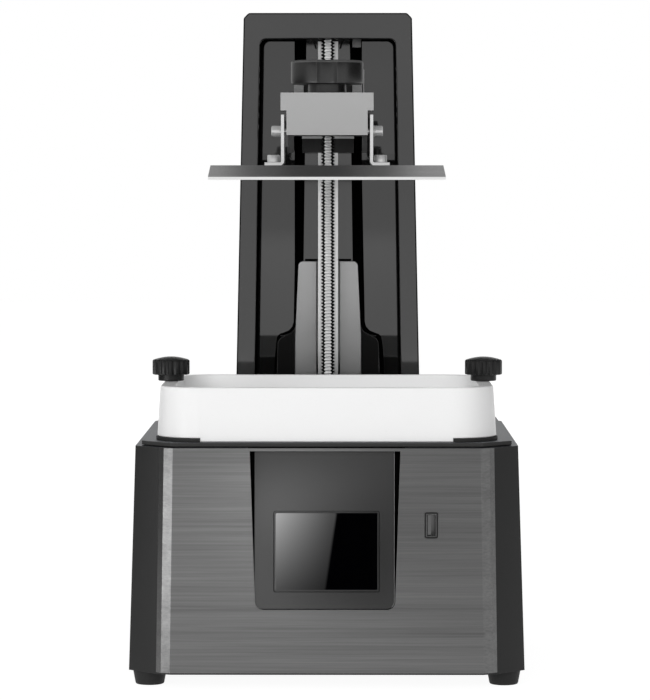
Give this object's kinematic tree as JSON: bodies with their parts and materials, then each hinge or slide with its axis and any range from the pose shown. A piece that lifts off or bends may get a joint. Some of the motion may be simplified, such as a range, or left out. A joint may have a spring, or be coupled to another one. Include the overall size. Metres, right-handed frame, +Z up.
{
  "type": "resin 3d printer",
  "caption": "Desktop resin printer with its cover off: base with touch screen, white resin vat, and a build platform on an arm that a lead screw lifts in an open tower.",
  "frame": {"origin": "centre of the footprint, on the surface that the feet stand on", "axes": "+Z up; -Y is the front with the touch screen; +X is to the right seen from the front"},
  "size_m": [0.221, 0.221, 0.3803],
  "materials": {
    "housing_coat": "fine matt powder coat, charcoal",
    "bottom_steel": "zinc-free black coat, matt",
    "foot_rubber": "matt",
    "brushed_panel": "dark anodised, brushed left to right",
    "bezel_plastic": "satin",
    "touch_glass": "glossy black, switched off",
    "display": "matt",
    "port_plastic": "satin",
    "port_metal": "tin plate",
    "deck_metal": "dark anodised, satin",
    "pad_rubber": "matt",
    "mask_glass": "dark liquid crystal panel",
    "brass_parts": "turned",
    "hood_black": "matt",
    "lens_clear": "clear",
    "lamp_board": "white solder mask",
    "sink_metal": "extruded",
    "fan_plastic": "matt black",
    "board_green": "green solder mask",
    "supply_case": "folded sheet",
    "rear_sheet": "matt black",
    "inlet_plastic": "black",
    "rocker_red": "red",
    "frame_metal": "mill finish",
    "motor_black": "black with bare end caps",
    "hood_coat": "dark matt coat",
    "liner_plastic": "matt",
    "foot_cast": "cast, black coat",
    "cover_plastic": "satin grey",
    "rail_steel": "ground",
    "block_metal": "dark anodised",
    "bearing_steel": "ground",
    "switch_plastic": "grey",
    "screw_steel": "rolled thread",
    "coupler_metal": "turned",
    "carriage_steel": "dark",
    "saddle_metal": "black anodised",
    "arm_metal": "bead blasted",
    "block_silver": "bead blasted silver",
    "fastener_steel": "bright zinc",
    "plate_metal": "machined, underside ground",
    "bracket_steel": "bright sheet",
    "pad_steel": "turned",
    "knob_plastic": "black, satin",
    "vat_white": "white, satin",
    "frame_steel": "sheet",
    "release_film": "clear film"
  },
  "bodies": {
    "root": {"base_shell": "housing_coat", "bottom_plate": "bottom_steel", "feet": "foot_rubber", "front_panel": "brushed_panel", "screen_bezel": "bezel_plastic", "touch_glass": "touch_glass", "display_module": "display", "usb_frame": "port_plastic", "usb_socket": "port_metal", "deck_plate": "deck_metal", "corner_pads": "pad_rubber", "masking_screen": "mask_glass", "deck_nuts": "brass_parts", "light_hood": "hood_black", "lamp_lenses": "lens_clear", "lamp_board": "lamp_board", "heat_sink": "sink_metal", "cooling_fan_frame": "fan_plastic", "main_board": "board_green", "board_standoffs": "brass_parts", "power_supply": "supply_case", "rear_panel": "rear_sheet", "exhaust_fan_frame": "fan_plastic", "mains_inlet": "inlet_plastic", "tower_plate": "frame_metal", "lift_motor": "motor_black", "tower_hood": "hood_coat", "tower_liner": "liner_plastic", "tower_rear_cover": "hood_coat", "column": "frame_metal", "column_foot": "foot_cast", "column_cover": "cover_plastic", "linear_rail": "rail_steel", "top_bearing_block": "block_metal", "top_bearing": "bearing_steel", "limit_switch": "switch_plastic"},
    "lift": {"rail_carriage": "carriage_steel", "carriage_plate": "saddle_metal", "platform_arm": "arm_metal", "lead_nut": "brass_parts"},
    "screw": {"lead_screw": "screw_steel", "shaft_coupler": "coupler_metal", "motor_shaft": "screw_steel"},
    "platform": {"clamp_block": "block_silver", "side_screws": "fastener_steel"},
    "plate": {"build_plate": "plate_metal", "plate_brackets": "bracket_steel", "plate_screws": "fastener_steel"},
    "pad": {"pressure_pad": "pad_steel"},
    "knob": {"clamp_knob": "knob_plastic"},
    "vat": {"vat_body": "vat_white", "film_frame": "frame_steel", "release_film": "release_film"},
    "left_ring": {"left_screw_ring": "fastener_steel"},
    "left_screw": {"left_thumb_screw": "knob_plastic"},
    "right_ring": {"right_screw_ring": "fastener_steel"},
    "right_screw": {"right_thumb_screw": "knob_plastic"},
    "cooling_rotor": {"cooling_fan_rotor": "fan_plastic"},
    "exhaust_rotor": {"exhaust_fan_rotor": "fan_plastic"},
    "rocker": {"rocker_switch": "rocker_red"}
  },
  "joints": [
    {"name": "z_slide", "type": "slide", "parent": "root", "child": "lift", "axis": [0, 0, 1], "range_m": [-0.144, 0.013]},
    {"name": "screw_turn", "type": "hinge", "parent": "root", "child": "screw", "pos_m": [0, 0.052, 0.2], "axis": [0, 0, 1], "range_deg": [-2345, 25925]},
    {"name": "platform_off", "type": "slide", "parent": "lift", "child": "platform", "axis": [0, -1, 0], "range_m": [0, 0.06]},
    {"name": "plate_level", "type": "slide", "parent": "platform", "child": "plate", "axis": [0, 0, 1], "range_m": [0, 0.0015]},
    {"name": "pad_rise", "type": "slide", "parent": "platform", "child": "pad", "axis": [0, 0, 1], "range_m": [0, 0.00145]},
    {"name": "clamp_turn", "type": "hinge", "parent": "pad", "child": "knob", "pos_m": [0, -0.0335, 0.34], "axis": [0, 0, 1], "range_deg": [0, 520]},
    {"name": "vat_lift", "type": "slide", "parent": "root", "child": "vat", "axis": [0, 0, 1], "range_m": [0, 0.06]},
    {"name": "left_rise", "type": "slide", "parent": "vat", "child": "left_ring", "axis": [0, 0, 1], "range_m": [0, 0.0057]},
    {"name": "left_turn", "type": "hinge", "parent": "left_ring", "child": "left_screw", "pos_m": [-0.0895, -0.0335, 0.15], "axis": [0, 0, 1], "range_deg": [0, 2880]},
    {"name": "right_rise", "type": "slide", "parent": "vat", "child": "right_ring", "axis": [0, 0, 1], "range_m": [0, 0.0057]},
    {"name": "right_turn", "type": "hinge", "parent": "right_ring", "child": "right_screw", "pos_m": [0.0895, -0.0335, 0.15], "axis": [0, 0, 1], "range_deg": [0, 2880]},
    {"name": "cooling_fan_spin", "type": "hinge", "parent": "root", "child": "cooling_rotor", "pos_m": [0, -0.0335, 0.03], "axis": [0, 0, 1], "continuous": true},
    {"name": "exhaust_fan_spin", "type": "hinge", "parent": "root", "child": "exhaust_rotor", "pos_m": [-0.042, 0.10934, 0.081], "axis": [0, 0.9999, 0.016], "continuous": true},
    {"name": "power_rocker", "type": "hinge", "parent": "root", "child": "rocker", "pos_m": [0.036, 0.10495, 0.08093], "axis": [1, 0, 0], "range_deg": [0, 14]}
  ],
  "couplings": [
    {"joint": "screw_turn", "follows": "z_slide", "rad_per_m": -3141.6},
    {"joint": "pad_rise", "follows": "clamp_turn", "m_per_rad": 0.00015915},
    {"joint": "left_rise", "follows": "left_turn", "m_per_rad": 0.00011141},
    {"joint": "right_rise", "follows": "right_turn", "m_per_rad": 0.00011141}
  ]
}
